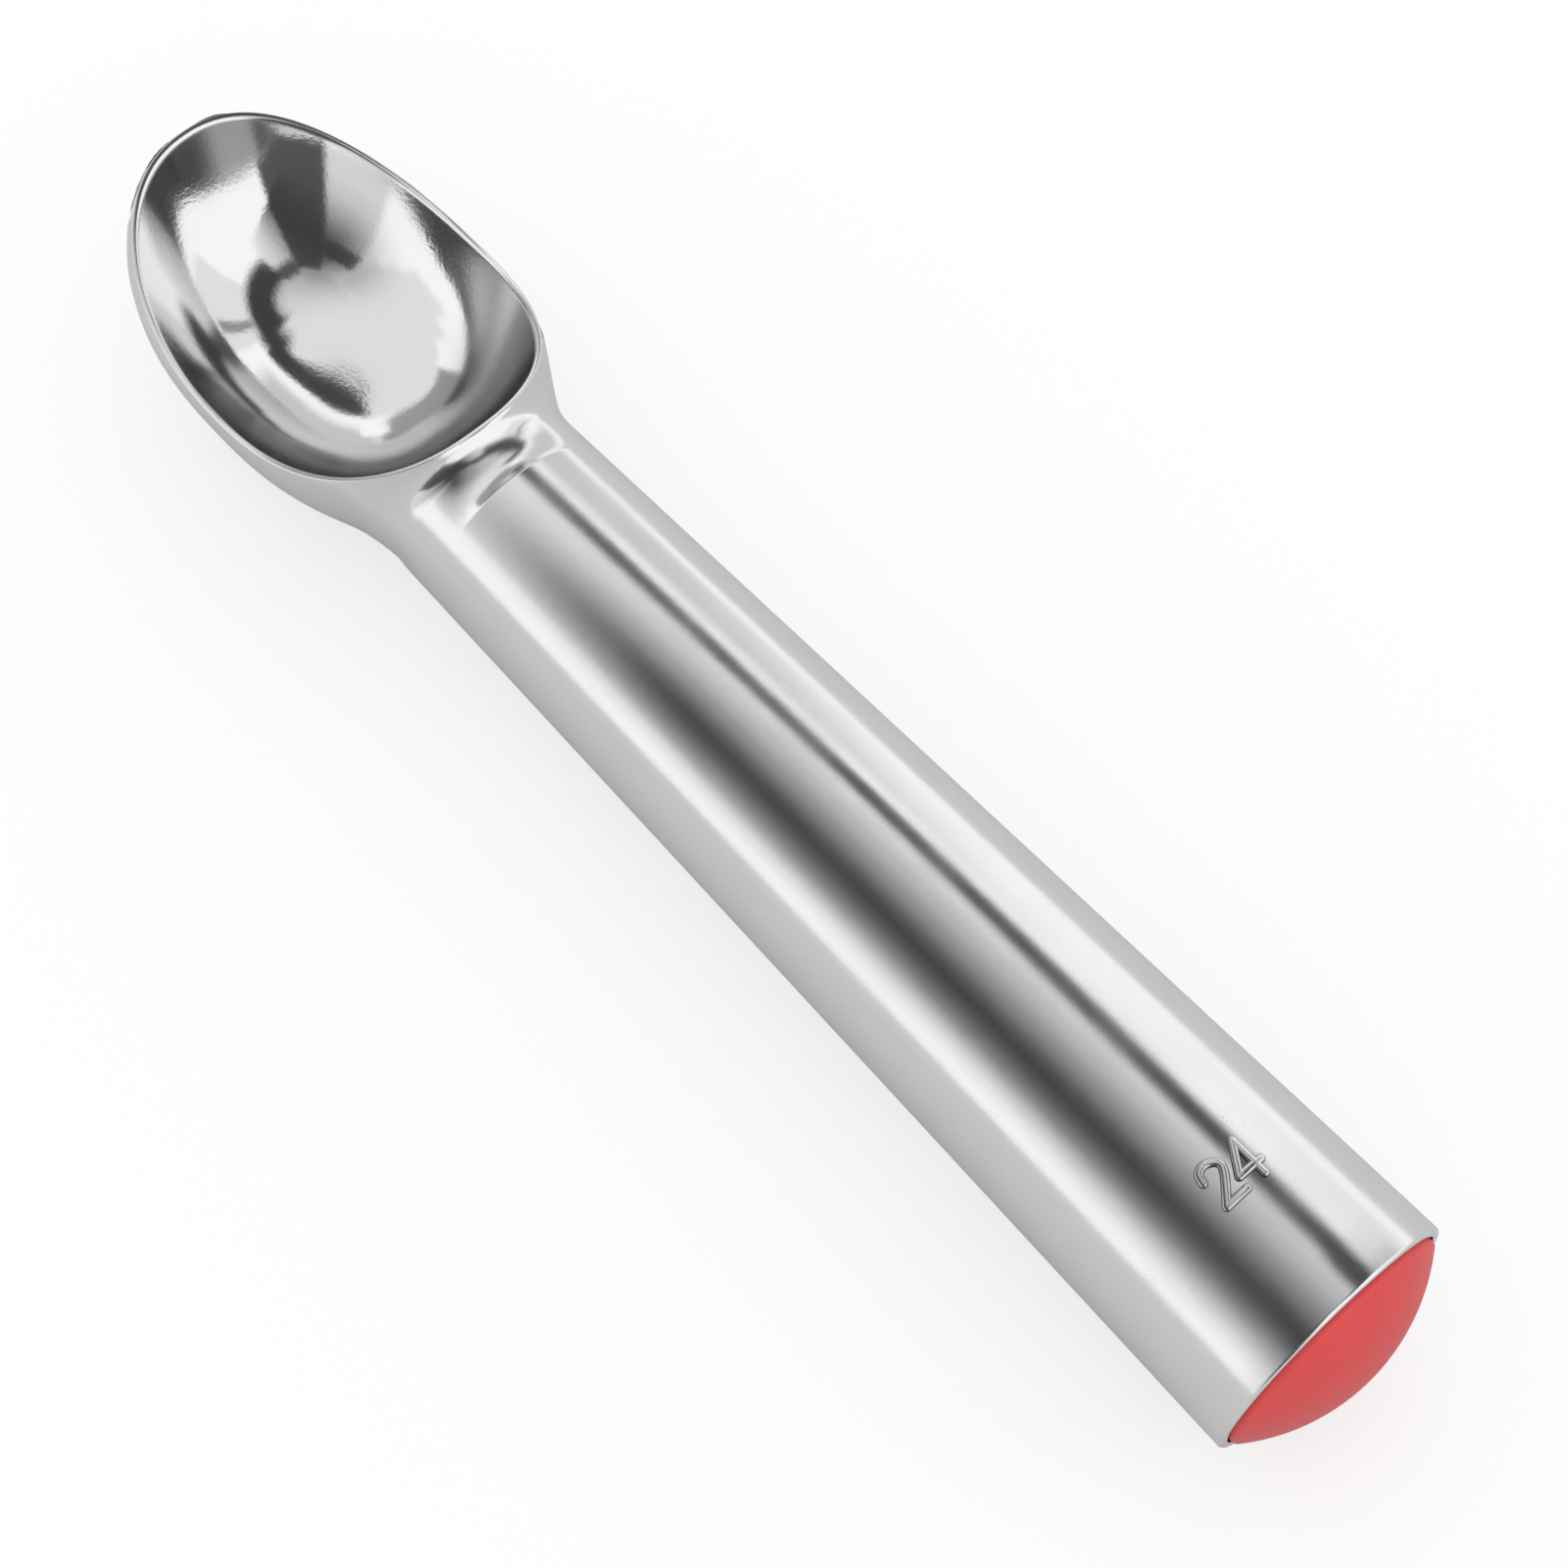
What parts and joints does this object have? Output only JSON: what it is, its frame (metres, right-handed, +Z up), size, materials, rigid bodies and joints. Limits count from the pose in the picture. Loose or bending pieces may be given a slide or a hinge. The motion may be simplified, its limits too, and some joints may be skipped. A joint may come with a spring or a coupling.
{
  "type": "ice cream scoop",
  "caption": "One-piece cast aluminium ice cream scoop: an egg-shaped bowl on a tapered hollow handle filled with heat-conducting liquid, closed by a domed end cap.",
  "frame": {"origin": "middle of the scoop's length and width, at the height of the foot of the handle's rear end", "axes": "+X along the handle from the end cap to the bowl's tip, +Z up out of the open bowl, +Y to the left when looking along +X"},
  "size_m": [0.1898, 0.0374, 0.031],
  "materials": {
    "cast_aluminium": "polished bowl, satin handle",
    "red_plastic": "satin moulded",
    "handle_liquid": "clear liquid",
    "plug_nylon": "plain moulded",
    "ring_rubber": "matt"
  },
  "bodies": {
    "root": {"scoop_body": "cast_aluminium", "end_cap": "red_plastic", "heat_fluid": "handle_liquid", "seal_plug": "plug_nylon", "plug_o_ring": "ring_rubber"}
  },
  "joints": []
}
